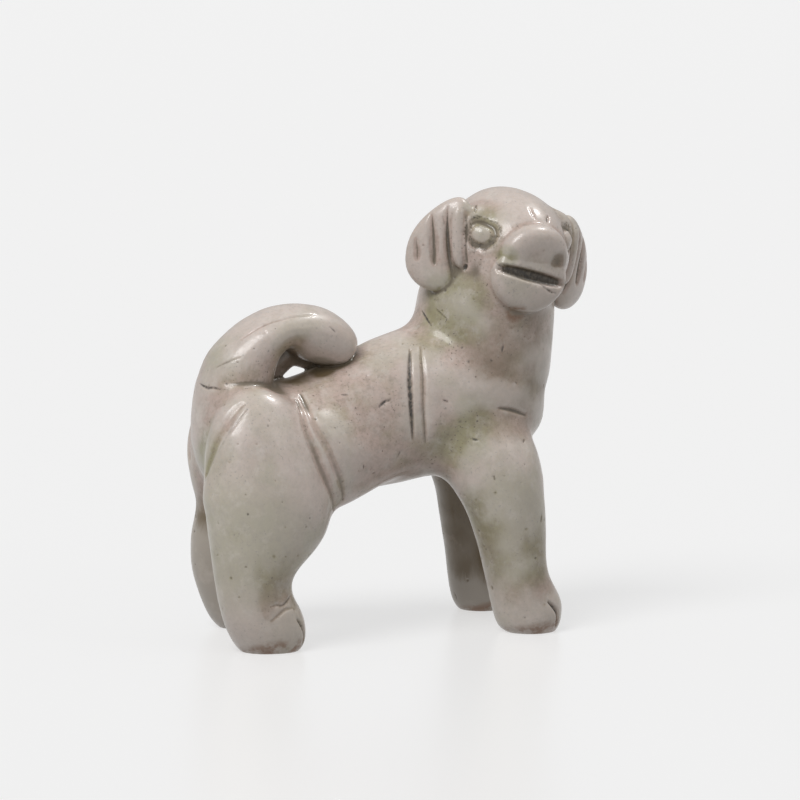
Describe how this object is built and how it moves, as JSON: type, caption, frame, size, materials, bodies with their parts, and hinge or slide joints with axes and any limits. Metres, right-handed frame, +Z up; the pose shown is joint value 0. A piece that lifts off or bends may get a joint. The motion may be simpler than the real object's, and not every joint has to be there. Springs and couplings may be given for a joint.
{
  "type": "dog figurine",
  "caption": "Small standing dog with a turned head, hanging ears, a flat muzzle and a thick tail curled onto its back, hand-modelled and glazed grey-green.",
  "frame": {"origin": "on the plane of the four soles, under the middle of the figure's own box", "axes": "+X the way the body walks, +Y to the dog's left, +Z up; the head is turned towards -Y"},
  "size_m": [0.0634, 0.0302, 0.0638],
  "materials": {
    "glaze": "semi-gloss mottled grey-green glaze, pinkish where thin"
  },
  "bodies": {
    "root": {"dog": "glaze"}
  },
  "joints": []
}
